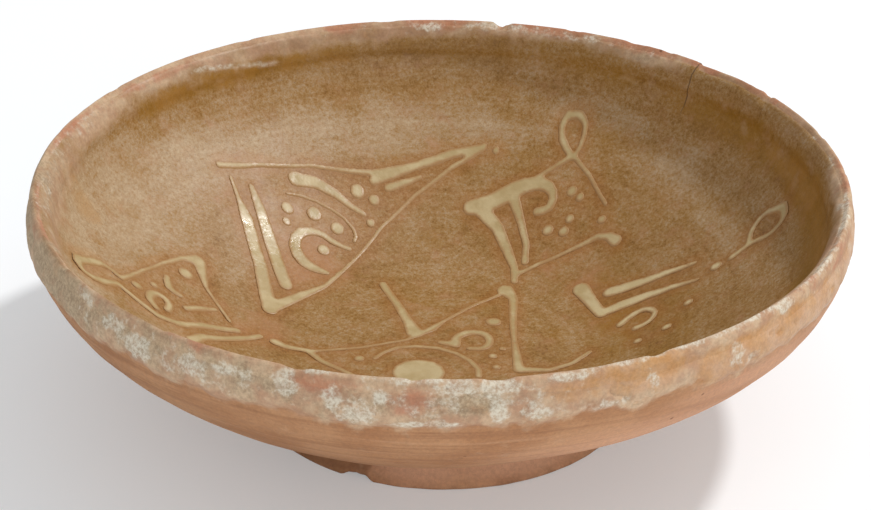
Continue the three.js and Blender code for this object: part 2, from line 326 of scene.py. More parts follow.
# What age has left on the lip and the shoulder, brushed on in dabs: white chalk, with a painted highlight
# line at the back among it, grey crust, clear amber runs, brown stains and rubbed red clay.
weathering = {
    "chalk_and_highlight": [
        (-131, 119, 65, 9, 6, 0.95), (-142, 118, 70, 7, 4, 0.75), (-136, 119, 68, 8, 4, 0.8),
        (-122, 119, 66, 8, 5, 0.8), (-116, 119, 68, 12, 3.5, 0.75), (-109, 118, 68, 5, 7, 1),
        (-103, 119, 66, 4, 6, 0.8), (-100, 119, 62, 8, 5, 0.9), (-97, 119, 67, 5, 4, 0.8),
        (-92, 119, 60, 16, 2.6, 0.9), (-88, 118, 70, 12, 3.4, 0.9), (-83, 118, 70, 10, 5, 1),
        (-83, 119, 64, 4, 6, 0.9), (-78, 119, 63, 10, 4, 0.85), (-70, 119, 62, 12, 2.8, 0.8),
        (-63, 119, 66, 3, 6, 0.7), (-50, 119, 65, 5, 6, 0.7), (-47, 119, 62, 5, 3, 0.7),
        (-105, 117, 72, 9, 2.4, 0.85), (-92, 118, 72, 26, 2.2, 0.7), (-40, 118, 71, 8, 3, 0.95),
        (-48, 117, 72, 6, 2.2, 0.9), (-58, 117, 72, 12, 1.8, 0.85), (-74, 118, 71, 10, 2.4, 0.85),
        (-8, 114, 72, 5, 5, 0.9), (6, 115, 71, 6, 3, 0.85), (14, 115, 71, 5, 2.4, 0.75),
        (92, 115, 71, 8, 3, 0.7), (81, 116, 72, 5, 3, 0.8), (-125, 119, 66, 60, 8, 0.36),
        (-90, 119, 66, 60, 8, 0.36), (60, 119, 66, 80, 8, 0.36), (130, 119, 66, 80, 8, 0.34),
        (-12, 116.5, 72, 26, 2.6, 0.75), (-28, 117, 72.2, 30, 2.6, 0.75), (-50, 117.4, 72.4, 40, 2.2, 0.7),
        (-66, 117.4, 72.4, 30, 2, 0.7), (76, 115.6, 71.4, 80, 3, 0.45), (168, 115, 71, 44, 5, 0.36),
        (-174, 114, 70, 44, 6, 0.36),
    ],
    "grey": [
        (-150, 119, 66, 45, 11, 1), (-178, 119, 66, 60, 11, 1), (150, 119, 66, 60, 10, 0.7),
        (-130, 119, 67, 30, 9, 0.75), (-116, 119, 67, 30, 8, 0.6), (-87, 119, 66, 16, 6, 0.8),
        (-97, 119, 64, 40, 8, 0.45), (60, 119, 65, 60, 9, 0.6),
    ],
    "amber": [
        (-72, 119, 67, 16, 6, 0.9), (-64, 118, 68, 26, 8, 1), (-50, 119, 65, 26, 9, 0.95),
        (-40, 119, 64, 24, 10, 1), (-30, 119, 63, 26, 11, 1), (-14, 119, 64, 32, 10, 0.8),
        (100, 119, 65, 40, 9, 0.7),
    ],
    "brown": [
        (82, 114, 70, 24, 6, 0.7), (34, 114, 70, 30, 6, 1), (14, 114, 70, 34, 6, 0.9),
        (64, 115, 70, 34, 4.2, 0.75), (100, 114.6, 69.4, 40, 4.4, 0.75), (117, 114.6, 69.2, 40, 4.6, 0.65),
        (132, 114.6, 69.2, 36, 4.6, 0.5), (-18, 114, 70, 40, 5, 0.5), (-172, 116.8, 72.6, 30, 1.5, 0.75),
        (-152, 117, 72.6, 36, 1.6, 0.9), (-136, 117, 72.6, 22, 1.5, 0.8),
    ],
    "rubbed": [
        (106, 117, 72, 12, 4.4, 0.9), (90, 117, 72, 20, 4.4, 0.9), (72, 117, 72, 28, 4.4, 1),
        (56, 117, 72, 26, 4, 1), (44, 117, 72, 16, 3.4, 0.9), (32, 117, 72, 28, 3, 0.8),
        (-35, 117, 72.6, 44, 2.2, 0.45), (-2, 117, 72.6, 34, 2.2, 0.7), (142, 115, 71, 30, 2.6, 0.7),
        (165, 116, 72, 30, 2.4, 0.75), (-168, 116, 72, 34, 2.2, 0.8), (-122, 117, 71, 20, 3, 0.7),
        (-105, 118, 69, 16, 5, 0.8), (-93, 119, 66, 14, 6, 0.8), (-20, 118, 70, 40, 4, 0.35),
    ],
}
# A painted highlight at the back: a thin light line along the inner edge of the lip, laid on with the
# chalk and bared through the glaze.
painted_edge_highlight = [
    (133 - 2.5 * step, 113.9 - 0.28 * step, 68.6 - 0.72 * step, 6.5, 1.5, 0.74) for step in range(6)
]
weathering["chalk_and_highlight"] += painted_edge_highlight


def ragged_edge(points):
    """Height at which the outer glaze ends above each point's bearing."""
    flat = points * [1, 1, 0]
    swung = glaze_edge + edge_swing * drift(flat, 16 * mm, seed=51)
    return swung + edge_fray * drift(flat, 5 * mm, seed=53)


def weather(piece, points):
    """Lays on what age has left on the lip and the shoulder, and the painted highlight at the back, which
    the clay and the glazes share.
    """
    edge = ragged_edge(points)
    fade = edge_fade + amber_fade * dabbed(points, weathering["amber"])
    lay_on(piece, "skin", eased(points[:, 2], edge - fade, edge + fade))
    for layer, dabs in weathering.items():
        lay_on(piece, layer, dabbed(points, dabs))


weather(body, points)
lay_on(body, "smoke", dabbed(points, [
    (-132, 62, 10, 30, 9, 1), (-114, 75, 17, 20, 8, 0.4), (120, 70, 14, 40, 12, 0.6),
]))
lay_on(body, "bright", dabbed(points, [
    (-58, 104, 42, 60, 22, 1), (-30, 110, 48, 50, 18, 1), (-20, 117, 56, 60, 10, 1),
    (-42, 116, 54, 50, 10, 0.9),
]))


def seen_as(red, green, blue):
    """A colour written as a picture shows it, from 0 to 255, in the light values a shader takes."""
    parts = [value / 255 for value in (red, green, blue)]
    return [part / 12.92 if part < 0.04 else ((part + 0.055) / 1.055) ** 2.4 for part in parts] + [1]


def put(tree, kind, inputs, **settings):
    """A shader node with its settings, its input values and its incoming links."""
    node = tree.nodes.new("ShaderNode" + kind)
    for name, value in settings.items():
        setattr(node, name, value)
    for name, value in inputs.items():
        if isinstance(value, bpy.types.NodeSocket):
            tree.links.new(value, node.inputs[name])
        else:
            node.inputs[name].default_value = value
    return node


def blended(tree, share, under, over, how="MIX"):
    return put(tree, "Mix", {0: share, 6: under, 7: over}, data_type="RGBA", blend_type=how).outputs[2]


def stepped(tree, value, low, high, start=0.0, end=1.0):
    edges = {"Value": value, "From Min": low, "From Max": high, "To Min": start, "To Max": end}
    return put(tree, "MapRange", edges, interpolation_type="SMOOTHSTEP").outputs[0]


def worked(tree, operation, first, second=0.0, third=0.0):
    return put(tree, "Math", {0: first, 1: second, 2: third}, operation=operation).outputs[0]


def tinted(tree, under, mask, share, over):
    """A colour with another one laid over it through a mask, at the given share."""
    return blended(tree, worked(tree, "MULTIPLY", mask, share), under, over)


def mottle(tree, where, size, detail=3.0, roughness=0.55):
    """Cloudy noise whose clouds are about the given size."""
    looks = {"Vector": where, "Scale": 1 / size, "Detail": detail, "Roughness": roughness}
    return put(tree, "TexNoise", looks).outputs[0]


def layer_of(tree, name):
    return put(tree, "Attribute", {}, attribute_name=name).outputs["Fac"]


def new_group(name, inputs, outputs):
    """An empty shader group, with its input and output sockets."""
    group = bpy.data.node_groups.new(name, "ShaderNodeTree")
    for label, kind in inputs.items():
        group.interface.new_socket(label, in_out="INPUT", socket_type="NodeSocket" + kind)
    for label, kind in outputs.items():
        group.interface.new_socket(label, in_out="OUTPUT", socket_type="NodeSocket" + kind)
    return group, group.nodes.new("NodeGroupInput").outputs, group.nodes.new("NodeGroupOutput").inputs


def new_material(name):
    material = bpy.data.materials.new(name)
    material.use_nodes = True
    material.node_tree.nodes.clear()
    tree = material.node_tree
    return material, tree, tree.nodes.new("ShaderNodeTexCoord").outputs["Object"]


def surfaced(tree, colour, roughness, height, depth, **shader_values):
    """Joins a colour, a roughness and a relief of the given depth in one glazed or bare surface."""
    bump = put(tree, "Bump", {"Height": height, "Strength": 1.0, "Distance": depth})
    values = {"Base Color": colour, "Roughness": roughness, "Normal": bump.outputs[0]}
    values.update({name.replace("_", " "): value for name, value in shader_values.items()})
    shader = put(tree, "BsdfPrincipled", values)
    put(tree, "OutputMaterial", {"Surface": shader.outputs[0]})


def from_axis(tree, where):
    """The parts of a place, and its distance from the axis of the bowl."""
    parts = put(tree, "SeparateXYZ", {0: where}).outputs
    flat_way = put(tree, "CombineXYZ", {0: parts[0], 1: parts[1]}).outputs[0]
    return parts, put(tree, "VectorMath", {0: flat_way}, operation="LENGTH").outputs["Value"]


turning_lines, entry, leave = new_group(
    "turning_lines", {"Where": "Vector", "Spacing": "Float", "Length": "Float"}, {"Lines": "Float"})
tree = turning_lines
parts, out_from_axis = from_axis(tree, entry["Where"])
line_way = put(tree, "CombineXYZ", {
    0: worked(tree, "DIVIDE", parts[0], entry["Length"]),
    1: worked(tree, "DIVIDE", parts[1], entry["Length"]),
    2: worked(tree, "DIVIDE", worked(tree, "ADD", out_from_axis, parts[2]), entry["Spacing"]),
}).outputs[0]
tree.links.new(mottle(tree, line_way, 1.0, detail=3.0, roughness=0.6), leave["Lines"])

cloud_pull = 2.2
cloud_balance = -1.65
cover_inputs = {"Where": "Vector", "Cover": "Float", "Size": "Float", "Edge": "Float"}
frayed_cover, entry, leave = new_group("frayed_cover", cover_inputs, {"Mask": "Float"})
tree = frayed_cover
scale = worked(tree, "DIVIDE", 1.0, entry["Size"])
clouds = put(tree, "TexNoise", {
    "Vector": entry["Where"], "Scale": scale, "Detail": 5.0, "Roughness": 0.65,
}).outputs[0]
balanced = worked(tree, "ADD", entry["Cover"], cloud_balance)
spread = worked(tree, "MULTIPLY_ADD", clouds, cloud_pull, balanced)
tree.links.new(stepped(tree, spread, worked(tree, "MULTIPLY", entry["Edge"], -1.0), entry["Edge"]),
               leave["Mask"])


def frayed(tree, where, cover, size, edge):
    """A cover with its edges broken up by clouds of the given size."""
    inputs = {"Where": where, "Cover": cover, "Size": size, "Edge": edge}
    return put(tree, "Group", inputs, node_tree=frayed_cover).outputs[0]


def lined(tree, where, spacing, length):
    inputs = {"Where": where, "Spacing": spacing, "Length": length}
    return put(tree, "Group", inputs, node_tree=turning_lines).outputs[0]


line_spacing = 2.2 * mm
line_length = 50 * mm
grain_size = 1.1 * mm
red_clay = seen_as(168, 119, 82)
buff_clay = seen_as(182, 135, 97)
groove_clay = seen_as(146, 100, 70)
ridge_clay = seen_as(200, 156, 122)
bright_clay = seen_as(214, 164, 132)
smoke_brown = seen_as(120, 78, 50)
tan_skin = seen_as(180, 140, 110)
pale_skin = seen_as(200, 170, 138)
rubbed_red = seen_as(180, 118, 88)
stain_brown = seen_as(140, 104, 68)
grey_crust = seen_as(160, 137, 107)
pale_crust = seen_as(184, 162, 132)
run_amber = seen_as(190, 138, 82)
pale_amber = seen_as(196, 152, 114)
chalk_and_highlight_white = seen_as(212, 203, 184)
soil_brown = seen_as(104, 76, 58)
outside_layers = ["Skin", "Smoke", "Bright", "Chalk_and_highlight", "Grey", "Amber", "Brown", "Rubbed"]
outside_inputs = {"Where": "Vector", **{layer: "Float" for layer in outside_layers}}
outside_colour, entry, leave = new_group("outside_colour", outside_inputs, {"Colour": "Color"})
tree = outside_colour
where = entry["Where"]
firing = mottle(tree, where, 26 * mm)
lines = lined(tree, where, line_spacing, line_length)
grain = mottle(tree, where, grain_size, detail=4.0, roughness=0.7)
clay = blended(tree, stepped(tree, firing, 0.38, 0.62), red_clay, buff_clay)
clay = blended(tree, stepped(tree, lines, 0.45, 0.7, start=0, end=0.5), clay, groove_clay)
clay = blended(tree, stepped(tree, lines, 0.28, 0.44, start=0.3, end=0), clay, ridge_clay)
# Bright lightens the clay; on the front of the foot this is painted light.
clay = tinted(tree, clay, entry["Bright"], 0.7, bright_clay)
smoke = frayed(tree, where, entry["Smoke"], size=9 * mm, edge=0.35)
clay = tinted(tree, clay, smoke, 0.6, smoke_brown)
clouds = mottle(tree, where, 8 * mm, detail=4.0, roughness=0.6)
skin = blended(tree, stepped(tree, clouds, 0.36, 0.64), tan_skin, pale_skin)
rubbed = frayed(tree, where, entry["Rubbed"], size=6 * mm, edge=0.4)
skin = tinted(tree, skin, rubbed, 0.75, rubbed_red)
brown = frayed(tree, where, entry["Brown"], size=10 * mm, edge=0.5)
skin = tinted(tree, skin, brown, 0.75, stain_brown)
grey = frayed(tree, where, entry["Grey"], size=7 * mm, edge=0.4)
crust = blended(tree, stepped(tree, grain, 0.34, 0.66), grey_crust, pale_crust)
skin = tinted(tree, skin, grey, 0.85, crust)
runs = mottle(tree, where, 6 * mm, detail=4.0, roughness=0.6)
amber_run = blended(tree, stepped(tree, runs, 0.36, 0.64), run_amber, pale_amber)
amber = frayed(tree, where, entry["Amber"], size=9 * mm, edge=0.4)
skin = tinted(tree, skin, amber, 0.8, amber_run)
# The chalk layer also carries the painted highlight line at the back of the lip.
chalk_and_highlight = frayed(tree, where, entry["Chalk_and_highlight"], size=2.8 * mm, edge=0.3)
chalk_and_highlight = worked(tree, "MULTIPLY", chalk_and_highlight, stepped(tree, grain, 0.34, 0.6, start=0.22, end=0.88))
skin = blended(tree, chalk_and_highlight, skin, chalk_and_highlight_white)
colour = blended(tree, frayed(tree, where, entry["Skin"], size=6 * mm, edge=0.4), clay, skin)
flecks = mottle(tree, where, 0.8 * mm, detail=3.0, roughness=0.7)
soiled = worked(tree, "MULTIPLY_ADD", worked(tree, "MAXIMUM", grey, chalk_and_highlight), 0.2, 0.15)
soiled = worked(tree, "MULTIPLY", soiled, stepped(tree, flecks, 0.57, 0.7))
colour = blended(tree, soiled, colour, soil_brown)
shade = stepped(tree, grain, 0.25, 0.75, start=0.86, end=1.1)
shades = put(tree, "CombineXYZ", {0: shade, 1: shade, 2: shade}).outputs[0]
tree.links.new(blended(tree, 1.0, colour, shades, "MULTIPLY"), leave["Colour"])


def coloured_outside(tree, where):
    """The clay with what age has left on it, with the painted highlight on the lip and the painted light
    on the foot, from the layers laid on the piece.
    """
    layers = {layer: layer_of(tree, layer.lower()) for layer in outside_layers}
    return put(tree, "Group", {"Where": where, **layers}, node_tree=outside_colour).outputs[0]


crack_width = 0.24 * mm
crack_foot = 54 * mm
crack_wander = 3 * mm
crack_kink = 9 * mm
crack_fade = 8 * mm
crack_brown = seen_as(72, 46, 28)
hairline, entry, leave = new_group("hairline", {"Where": "Vector"}, {"Mask": "Float"})
tree = hairline
parts, out_from_axis = from_axis(tree, entry["Where"])
bearing = worked(tree, "ARCTAN2", parts[1], parts[0])
bearing = worked(tree, "SUBTRACT", bearing, math.radians(crack_bearing))
up_way = put(tree, "CombineXYZ", {2: parts[2]}).outputs[0]
wander = mottle(tree, up_way, crack_kink, detail=3.0, roughness=0.6)
wander = worked(tree, "MULTIPLY", worked(tree, "SUBTRACT", wander, 0.5), crack_wander)
beside = worked(tree, "ABSOLUTE", worked(tree, "MULTIPLY_ADD", bearing, out_from_axis, wander))
depth = stepped(tree, parts[2], crack_foot, crack_foot + crack_fade)
split = stepped(tree, beside, 0.4 * crack_width, 1.4 * crack_width, start=1, end=0)
tree.links.new(worked(tree, "MULTIPLY", depth, split), leave["Mask"])


def cracked(tree, where, colour):
    """The colour with the dark hairline crack drawn over it."""
    mask = put(tree, "Group", {"Where": where}, node_tree=hairline).outputs[0]
    return tinted(tree, colour, mask, 0.7, crack_brown)


pit_spacing = 11 * mm
pit_brown = seen_as(100, 66, 46)
clay_relief = 0.16 * mm
bare_clay, tree, where = new_material("bare_clay")
grain = mottle(tree, where, grain_size, detail=4.0, roughness=0.7)
lines = lined(tree, where, line_spacing, line_length)
pit_looks = {"Vector": where, "Scale": 1 / pit_spacing, "Randomness": 1.0}
pit_cells = put(tree, "TexVoronoi", pit_looks).outputs[0]
pits = stepped(tree, pit_cells, 0.03, 0.065, start=1, end=0)
colour = coloured_outside(tree, where)
colour = tinted(tree, colour, pits, 0.6, pit_brown)
clay_height = worked(tree, "MULTIPLY_ADD", lines, 0.6, worked(tree, "SUBTRACT", grain, pits))
dullness = stepped(tree, grain, 0.2, 0.8, start=0.72, end=0.92)
surfaced(tree, cracked(tree, where, colour), dullness, clay_height, clay_relief, Specular_IOR_Level=0.25)
body.data.materials.append(bare_clay)
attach(body, "root")
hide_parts("thrown_body")

# Foot ring
# A low ring of the same clay, luted under the bowl and trued on the wheel. It spreads a little to its
# resting edge, is lightened in front with painted light, is darker towards its resting edge, and is
# smoked on the left, where a chip is gone from the edge.
foot_low, foot_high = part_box("foot_ring")
foot_radius = (foot_high.x - foot_low.x) / 2
foot_middle = (foot_high.x + foot_low.x) / 2
foot_gap = 0.05 * mm
foot_top = base_height - foot_gap
foot_flare = 2.5 * mm
foot_width = 11 * mm
foot_edge = 1.2 * mm
foot_hollow = 0.5 * mm
foot_waist = 0.55
foot_turns = 480
side_rings = 10
inner_edge_rings = 5
outer_edge_rings = 6
inner_radius = foot_radius - foot_width
foot_side = flat_curve([
    (foot_radius, foot_edge),
    (foot_radius - foot_flare - foot_hollow, foot_top * foot_waist),
    (foot_radius - foot_flare, foot_top),
], side_rings)
foot_inside = [Vector((inner_radius, 0, foot_top)), Vector((inner_radius, 0, foot_edge))]
resting_edge = flat_curve([
    (inner_radius, foot_edge),
    (inner_radius, 0),
    (inner_radius + foot_edge, 0),
], inner_edge_rings)
resting_face = [Vector((inner_radius + foot_width * share, 0, 0)) for share in (0.3, 0.5, 0.7)]
outer_edge = flat_curve([
    (foot_radius - foot_edge, 0),
    (foot_radius, 0),
    (foot_radius, foot_edge),
], outer_edge_rings)
foot = turned("foot_ring_clay",
              foot_side + foot_inside + resting_edge[1:] + resting_face + outer_edge[:-1], foot_turns)
break_end = -113
break_length = 8
break_depth = 1.1 * mm
break_push = 0.9 * mm
break_from = foot_radius - 6 * mm
break_at = foot_radius - 3 * mm
break_grain = 2.5 * mm
wear_size = 5 * mm
edge_wear = 0.35 * mm
points = points_of(foot)
azimuth, radius, height = polar(points)
before_end = -np.degrees(turn_from(azimuth, break_end))
broken = eased(before_end, -3, 0.6) * (1 - eased(before_end, break_length * 0.6, break_length))
broken *= eased(radius, break_from, break_at)
low_edge = 1 - eased(height, 0.4 * foot_top, 0.9 * foot_top)
points[:, 2] += break_depth * broken * low_edge * (1 + 0.5 * drift(points, break_grain, seed=21))
away = points[:, :2] / radius[:, None]
points[:, :2] -= away * (break_push * broken * low_edge)[:, None]
worn_edge = edge_wear * low_edge * (1 + drift(points, wear_size, seed=23)) / 2
points[:, :2] -= away * worn_edge[:, None]
points[:, 0] += foot_middle
set_points(foot, points)
# The foot grows darker towards its resting edge.
lower_darkening = 0.5 * (1 - eased(points[:, 2], 0.2 * mm, 0.55 * foot_top))
smoked = np.maximum(lower_darkening, dabbed(points, [(-134, 57, 4, 34, 9, 0.95)]))
lay_on(foot, "smoke", np.maximum(0.9 * broken, smoked))
# Painted light: the front of the foot is lightened.
lay_on(foot, "bright", dabbed(points, [
    (-96, 56, 6, 26, 9, 1), (-60, 56, 6, 50, 9, 1), (0, 56, 6, 80, 10, 0.9),
]))
foot.data.materials.append(bare_clay)
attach(foot, "root")
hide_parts("foot_ring")

# Slip trails
# Cream slip run from a nozzle onto the leather-hard clay: bars, scrolls, loops and dots that stand up
# as soft rounded cords. Each cord or dot that stands alone is a piece of its own.
face = np.array([(point.x, point.z) for point in inner_face])
face_climb = face.sum(1)
face_way = np.gradient(face, axis=0)
face_way /= np.linalg.norm(face_way, axis=1)[:, None]


def over_clay(points):
    """Height of each point over the clay's inner face, and the way square to that face."""
    azimuth, radius, height = polar(points)
    climb = radius + height
    out, up = (np.interp(climb, face_climb, face[:, axis]) for axis in (0, 1))
    way_out, way_up = (np.interp(climb, face_climb, face_way[:, axis]) for axis in (0, 1))
    square = np.stack([-way_up * np.cos(azimuth), -way_up * np.sin(azimuth), way_out], 1)
    return (height - up) * way_out - (radius - out) * way_up, square


cord_grain = 0.34 * mm
cord_smoothing = 22
cord_foot = 0.75 * mm
cord_flow = 0.36
cord_edge = 1 * mm
cord_shade = 1.2 * mm
border_width = 0.05 * mm
slip_relief = 0.07 * mm
deep_cream = seen_as(174, 149, 101)
light_cream = seen_as(191, 169, 125)
painted_light_cream = seen_as(216, 196, 150)
thin_cream = seen_as(164, 121, 72)
fleck_brown = seen_as(160, 118, 72)
# Painted light: the trails on the right, which lie in the bowl's shade, are lightened to a paler cream.
painted_light_dabs = [(8, 74, 28, 46, 44, 1)]
polish_dabs = [
    (143, 79, 31, 12, 7, 1), (147, 72, 26, 10, 7, 1), (137, 75, 28, 9, 7, 1),
    (142, 65, 22, 11, 8, 1), (133, 67, 24, 7, 6, 1),
]


def swayed(tree, value, clouds, weight):
    """A value raised and lowered by clouds, which lie about 0.5, at the given weight."""
    return worked(tree, "MULTIPLY_ADD", worked(tree, "SUBTRACT", clouds, 0.5), weight, value)


slip, tree, where = new_material("cream_slip")
inward = layer_of(tree, "inward")
clouds = mottle(tree, where, 9 * mm, detail=3.0)
flecks = mottle(tree, where, 0.9 * mm, detail=3.0, roughness=0.7)
patches = mottle(tree, where, 3.2 * mm, detail=2.0)
cream = blended(tree, stepped(tree, clouds, 0.38, 0.62), deep_cream, light_cream)
# Painted light on the trails on the right.
cream = tinted(tree, cream, layer_of(tree, "pale"), 0.6, painted_light_cream)
thickness = swayed(tree, inward, flecks, 0.6)
thickness = swayed(tree, thickness, patches, 0.8)
colour = blended(tree, stepped(tree, thickness, 0.0, 1.0, start=0.08, end=1), thin_cream, cream)
colour = blended(tree, stepped(tree, flecks, 0.6, 0.75, start=0, end=0.3), colour, fleck_brown)
dullness = stepped(tree, patches, 0.4, 0.6, start=0.38, end=0.52)
gloss = worked(tree, "MULTIPLY_ADD", layer_of(tree, "polish"), -0.22, dullness)
dents = worked(tree, "MULTIPLY_ADD", patches, 2.4, flecks)
surfaced(tree, colour, gloss, dents, slip_relief)

slip_names = sorted(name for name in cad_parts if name.startswith("slip_"))
cords = {}
for name in slip_names:
    shape = bmesh.new()
    shape.from_mesh(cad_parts[name].data)
    bmesh.ops.remove_doubles(shape, verts=shape.verts, dist=same_point)
    mesh = bpy.data.meshes.new(name + "_sharp")
    shape.to_mesh(mesh)
    shape.free()
    cord = bpy.data.objects.new(name + "_cord", mesh)
    bpy.context.scene.collection.objects.link(cord)
    rounded = cord.modifiers.new("rounded", "REMESH")
    rounded.mode = "VOXEL"
    rounded.voxel_size = cord_grain
    softened = cord.modifiers.new("softened", "SMOOTH")
    softened.factor = 0.5
    softened.iterations = cord_smoothing
    cords[name] = cord
settle(list(cords.values()))
for name, cord in cords.items():
    points = points_of(cord)
    rise, square = over_clay(points)
    lowered = (1 - cord_flow) * np.maximum(rise - cord_foot, 0)
    points -= square * lowered[:, None]
    set_points(cord, points)
    border = np.flatnonzero(np.abs(rise - lowered - cord_edge) < border_width)
    border_tree = KDTree(len(border))
    for index in border:
        border_tree.insert(points[index], index)
    border_tree.balance()
    lay_on(cord, "inward", [border_tree.find(point)[2] / cord_shade for point in points])
    lay_on(cord, "pale", dabbed(points, painted_light_dabs))
    lay_on(cord, "polish", dabbed(points, polish_dabs))
    cord.data.materials.append(slip)
    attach(cord, "root")
    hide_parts(name)

# Inner glaze
# A thin amber lead glaze poured over the whole inside. It is speckled by the clay below, lifted by a
# painted sheen on the left, darkened by painted shade under the lip and a deeper amber on the right,
# gathers beside the cords and is worn off the lip.
seat_gap = 0.3 * mm
glaze_thickness = 0.5 * mm
film_left = 0.05 * mm
root_depth = 1.4 * mm
root_step = 3
floor_rings = 50
glaze_turns = 600
flat_floor = floor_bend[0].x
glaze_line = [Vector((flat_floor * step / floor_rings, 0, floor_height)) for step in range(floor_rings)]
glaze_line += floor_bend[:-1] + inner_wall + flank[1:-2]
glaze_top = moved_left(glaze_line, seat_gap + glaze_thickness)
glaze_root = moved_left(inner_face[:-2], -root_depth)
glaze_under = glaze_root[::-root_step][:-1] + [glaze_root[0]]
glaze = turned("inner_glaze_coat", glaze_top + glaze_under, glaze_turns)

cord_corners = []
cord_faces = []
for name in slip_names:
    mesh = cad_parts[name].data
    first = len(cord_corners)
    cord_corners += [vertex.co.copy() for vertex in mesh.vertices]
    cord_faces += [[first + corner for corner in side.vertices] for side in mesh.polygons]
cord_tree = BVHTree.FromPolygons(cord_corners, cord_faces)
pool_reach = 6 * mm
pool_rise = 0.1 * mm
pool_slope = 0.9 * mm
pool_shade = 1.1 * mm
thin_from = rim_height - 16 * mm
thin_at = rim_height - 4 * mm
streak_spacing = 5 * mm
streak_wander = 50 * mm
streak_relief = 0.03 * mm
ripple_size = 6 * mm
ripple_relief = 0.05 * mm
lip_tuck = 0.6 * mm
tuck_from = crest_radius - 2.4 * mm
tuck_at = crest_radius - 1.4 * mm
strip_from = crest_height - 2.2 * mm
strip_at = crest_height - 0.9 * mm
ground_reach = (0.5 * mm, 5 * mm)
plain_tone = 0.485
painted_sheen_lift = 0.33
shade_and_amber_drop = 0.13
points = points_of(glaze)
_, radius, height = polar(points)
rise, square = over_clay(points)
showing = rise > 0
gap_to_cord = np.full(len(points), pool_reach)
for index in np.flatnonzero(showing):
    found = cord_tree.find_nearest(Vector(points[index]), pool_reach)
    if found[3] is not None:
        gap_to_cord[index] = found[3]
thinned = eased(height, thin_from, thin_at)
relief = pool_rise * np.exp(-gap_to_cord / pool_slope) - (seat_gap + glaze_thickness - film_left) * thinned
waves = np.sin(math.tau * (radius + height) / streak_spacing + 3 * drift(points, streak_wander, seed=35))
relief += (1 - thinned) * (streak_relief * waves + ripple_relief * drift(points, ripple_size, seed=37))
relief -= lip_tuck * eased(radius, tuck_from, tuck_at)
# Painted sheen: the glaze is lifted towards its palest tones on the left and along the back.
painted_sheen = dabbed(points, [
    (165, 100, 47, 60, 34, 0.85), (145, 100, 48, 50, 22, 0.8), (178, 104, 56, 44, 18, 1.1),
    (-165, 104, 54, 40, 18, 0.9), (120, 97, 44, 50, 16, 0.7), (95, 96, 44, 60, 13, 0.7),
    (62, 103, 51, 40, 8, 0.5), (38, 96, 43, 34, 9, 0.5), (18, 92, 39, 30, 8, 0.45),
    (135, 70, 26, 40, 26, 0.5), (-150, 80, 30, 50, 24, 0.5),
])
# Painted shade in a band under the lip, where the wall turns in, and a deeper amber on the right.
shade_and_amber = dabbed(points, [
    (126, 112.3, 64.6, 76, 6.4, 0.85), (85, 112, 64.6, 70, 8, 0.5), (60, 111, 63, 40, 7, 0.5),
    (30, 110, 61, 60, 10, 0.9), (8, 110, 60, 60, 12, 1), (-25, 108, 57, 70, 18, 1),
    (-55, 80, 30, 60, 28, 1), (0, 60, 20, 70, 30, 0.4),
])
points += square * (relief * showing)[:, None]
points[:, 2] -= lip_fall(points)
set_points(glaze, points)
weather(glaze, points)
crest_strip = eased(height, strip_from, strip_at)
lay_on(glaze, "worn_and_highlight", np.maximum(crest_strip, dabbed(points, [
    (69, 115.6, 71, 34, 3.2, 1), (80, 115.4, 70.8, 34, 3.7, 1), (91, 115.2, 70.4, 34, 4.5, 1),
    (102, 115, 70, 34, 4.9, 1), (114, 114.8, 69.6, 36, 5.5, 1), (126, 114.8, 69.6, 36, 5.5, 1),
    (140, 115, 70, 42, 5.2, 1), (158, 114, 69, 44, 7, 1), (-178, 112, 67, 50, 11, 1),
    (-155, 112, 66, 50, 12, 1), (-120, 113, 68, 80, 9, 1), (-80, 113, 69, 80, 7, 0.8),
    (56, 115.2, 70.4, 30, 4.4, 1), (-4, 115, 70.4, 26, 4.6, 1), (-22, 114.4, 69.6, 44, 5.6, 1),
    (-44, 114.6, 70, 40, 5, 0.9),
    # The painted highlight line is bared through the glaze as well.
    *painted_edge_highlight,
])))
lay_on(glaze, "pool", np.exp(-gap_to_cord / pool_shade))
lay_on(glaze, "ground", about(gap_to_cord, 0, *ground_reach))
# The tone is lifted by the painted sheen and lowered by the painted shade and deeper amber.
lay_on(glaze, "tone", plain_tone + painted_sheen_lift * painted_sheen - shade_and_amber_drop * shade_and_amber)
lay_on(glaze, "shade_and_amber", shade_and_amber)
lay_on(glaze, "gold", dabbed(points, [
    (173, 106.7, 53, 9, 11, 1), (171, 112, 63, 6, 7, 0.8), (152, 112.2, 63, 18, 4.6, 0.6),
    (140, 112.3, 64, 22, 4.6, 0.65), (128, 112.3, 64, 26, 4.4, 0.6), (114, 112.3, 63.6, 28, 4.4, 0.5),
    (10, 110, 61, 50, 8, 0.7), (-20, 110, 60, 60, 9, 0.7),
]))
lay_on(glaze, "rosy", dabbed(points, [
    (135, 60, 22, 34, 20, 0.8), (40, 58, 20, 30, 14, 0.5), (178, 55, 18, 30, 16, 0.7),
    (100, 96, 44, 36, 8, 0.3),
]))


def ramped(tree, value, stops):
    """A colour read off a scale of colours, each with its place from 0 to 1."""
    ramp = put(tree, "ValToRGB", {"Fac": value})
    scale = ramp.color_ramp.elements
    while len(scale) < len(stops):
        scale.new(1.0)
    for stop, (place, shade) in zip(scale, stops):
        stop.position = place
        stop.color = shade
    return ramp.outputs[0]


